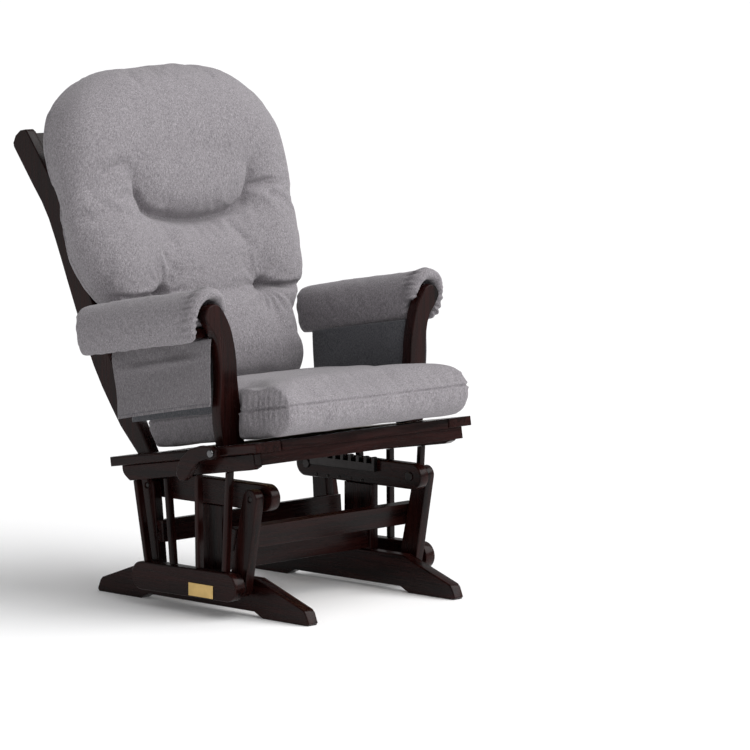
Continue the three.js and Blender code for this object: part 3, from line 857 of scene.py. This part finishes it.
def repeated(name, path, item, finish, spacing, body, slotName, follow=True, turn=(0, 0, 0), spread=0.06,
             seed=3):
    mesh = bpy.data.meshes.new(name)
    mesh.from_pydata([tuple(p) for p in path], [(k, k + 1) for k in range(len(path) - 1)], [])
    piece = pieceFrom(name, mesh, finish)
    change = piece.modifiers.new("repeat", "NODES")
    change.node_group = repeatAlong
    given = {"Item": item, "Spacing": spacing * mm, "Follow Path": follow, "Turn": turn, "Spread": spread,
             "Seed": seed, "Finish": finish}
    for socket in repeatAlong.interface.items_tree:
        if socket.in_out == "INPUT" and socket.name in given:
            change[socket.identifier] = given[socket.name]
    applied(piece)
    bpy.data.objects.remove(item)
    piece.data.shade_smooth()
    return finishPiece(piece, body, slotName)


screws = {"first": -41, "last": 89, "pitch": 32.4, "height": 216}


# the row of pan-head screws on the inside of the right base rail
def makeScrews():
    railLow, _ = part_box("right_base_rail")
    profile = [(0, 0.6), (1.2, 0.6), (1.5, 1.5), (2.8, 1.7), (3.4, 1.2), (3.6, 0.3), (3.6, -1.0), (0, -1.0)]
    item = turnedItem("pan_head_screw", profile[::-1], 16)
    path = [Vector((railLow.x, at(0, screws[end], 0).y, screws["height"] * mm)) for end in ("first", "last")]
    repeated("rail_screws", path, item, darkSteel, screws["pitch"], "root", "pivot_steel", follow=False,
             turn=(0, -math.pi / 2, 0), spread=0.0)


makeScrews()

sling = {"front": -106, "pocketFront": -119, "rear": 160, "pocketX": 300, "liningX": 258,
         "hem": 0.955, "stitch": 6.4, "pocketLow": 414, "liningLow": 400, "tuck": 6}


def makeSling(word, side):
    def padBottom(y):
        return armPad["frontZ"] - (y - armPad["frontY"]) * math.tan(seatTilt)

    # the outside pocket hangs from the pad's lower edge, with soft folds near the top
    def pocketPlace(u, v):
        y = sling["pocketFront"] + (sling["rear"] - sling["pocketFront"]) * u
        top = padBottom(y) + sling["tuck"]
        low = sling["pocketLow"] - (y - sling["front"]) * math.tan(seatTilt) * 1.08
        z = top + (low - top) * v
        y -= 17 * v * u ** 2
        sag = math.sin(math.pi * v)
        folds = 2.6 * math.sin(y / 21 + 2.5 * v) * math.exp(-((v - 0.14) / 0.14) ** 2)
        folds += 2.6 * math.sin(y / 43 + z / 29) * sag
        droop = 6.5 * math.exp(-((v - 0.26 - 0.05 * u) / 0.055) ** 2) * math.sin(math.pi * min(1, u * 1.02))
        x = sling["pocketX"] + folds + droop + 3 * v
        return side * x, y, z

    def liningPlace(u, v):
        y = sling["front"] + (sling["rear"] - sling["front"]) * u
        top = padBottom(y) + sling["tuck"]
        low = sling["liningLow"] - (y - sling["front"]) * math.tan(seatTilt)
        z = top + (low - top) * v
        x = sling["liningX"] + 1.4 * math.sin(y / 37 + 3 * v) * math.sin(math.pi * v)
        return side * x, y - 10 * v * u, z

    # the pocket wears the darkened copy of the cushion cloth, painted shade under the pad
    pocket, flat = clothPanel(f"{word}_arm_pocket", pocketPlace, 90, 50, pocketClothPaintedShade)
    finishPiece(pocket, "carriage", "cushion_fabric", f"{word}_arm_sling")
    hem = [pocketPlace(0.02 + 0.96 * k / 40, sling["hem"]) for k in range(41)]
    hem = [at(x + side * 1.1, y, z) for x, y, z in hem]
    profile = [(0, -2.3), (0.45, -2.0), (0.6, -1.0), (0.6, 1.0), (0.45, 2.0), (0, 2.3)]
    thread = turnedItem("stitch", profile, 8)
    repeated(f"{word}_pocket_stitches", hem, thread, darkLining, sling["stitch"], "carriage",
             "cushion_fabric", seed=5 + side)
    lining, flat = clothPanel(f"{word}_arm_lining", liningPlace, 70, 44, darkLining)
    finishPiece(lining, "carriage", "lining_fabric")


for word, side in (("left", -1), ("right", 1)):
    makeArmPad(word, side)
    makeSling(word, side)
print("arms dressed")


view = {"azimuth": -46.3, "elevation": 6.35, "distance": 7.6, "focal": 182.98,
        "side": 0.1919, "rise": -0.0064, "aim": 0.45}
light = {"sky": 0.35, "key": 3.05, "soft": 64, "aim": (-0.42, 0.6, -0.78), "gloss": 20, "floor": 160.0}


def makeCamera():
    a, e = math.radians(view["azimuth"]), math.radians(view["elevation"])
    back = Vector((math.sin(a) * math.cos(e), -math.cos(a) * math.cos(e), math.sin(e)))
    right = Vector((math.cos(a), math.sin(a), 0))
    up = back.cross(right)
    data = bpy.data.cameras.new("studio_camera")
    data.lens, data.sensor_width = view["focal"], 36
    data.clip_end = 400
    camera = bpy.data.objects.new("studio_camera", data)
    bpy.context.scene.collection.objects.link(camera)
    aim = Vector((0, footMiddle, view["aim"]))
    camera.location = aim + right * view["side"] + up * view["rise"] + back * view["distance"]
    camera.rotation_mode = "QUATERNION"
    camera.rotation_quaternion = Matrix((right, up, back)).transposed().to_quaternion()
    bpy.context.scene.camera = camera


def softBox(name, place, aim, size, power):
    data = bpy.data.lights.new(name, "AREA")
    data.shape, data.size, data.energy = "SQUARE", size, power
    lamp = bpy.data.objects.new(name, data)
    bpy.context.scene.collection.objects.link(lamp)
    lamp.location = place
    lamp.rotation_mode = "QUATERNION"
    lamp.rotation_quaternion = (Vector(aim) - Vector(place)).to_track_quat("-Z", "Y")


def makeStage():
    floor = Recipe("pale_floor")
    speckle = floor.grain(60.0, floor.place(), 2, 0.5)
    floor.set(Base_Color=floor.mix(speckle, (0.93, 0.93, 0.935), (0.96, 0.96, 0.965)), Roughness=0.75)
    floor.set(Specular_IOR_Level=0.1, Emission_Color=(1, 1, 1), Emission_Strength=0.07)
    side = light["floor"]
    corners = [(-side, -side, 0), (side, -side, 0), (side, side, 0), (-side, side, 0)]
    ground = pieceFrom("studio_floor", meshFrom("studio_floor", corners, [(0, 1, 2, 3)]), floor.material)
    world = bpy.data.worlds.new("studio")
    bpy.context.scene.world = world
    world.use_nodes = True
    sky = world.node_tree.nodes["Background"]
    sky.inputs["Color"].default_value = (1, 1, 1, 1)
    sky.inputs["Strength"].default_value = light["sky"]
    data = bpy.data.lights.new("studio_key", "SUN")
    data.energy, data.angle = light["key"], math.radians(light["soft"])
    key = bpy.data.objects.new("studio_key", data)
    bpy.context.scene.collection.objects.link(key)
    key.rotation_mode = "QUATERNION"
    key.rotation_quaternion = Vector(light["aim"]).to_track_quat("-Z", "Y")
    softBox("gloss", (-1.6, -3.4, 2.6), (0, 0, 0.4), 1.2, light["gloss"])
    bpy.context.scene.view_settings.view_transform = "Standard"


makeCamera()
makeStage()
print("stage and camera ready")
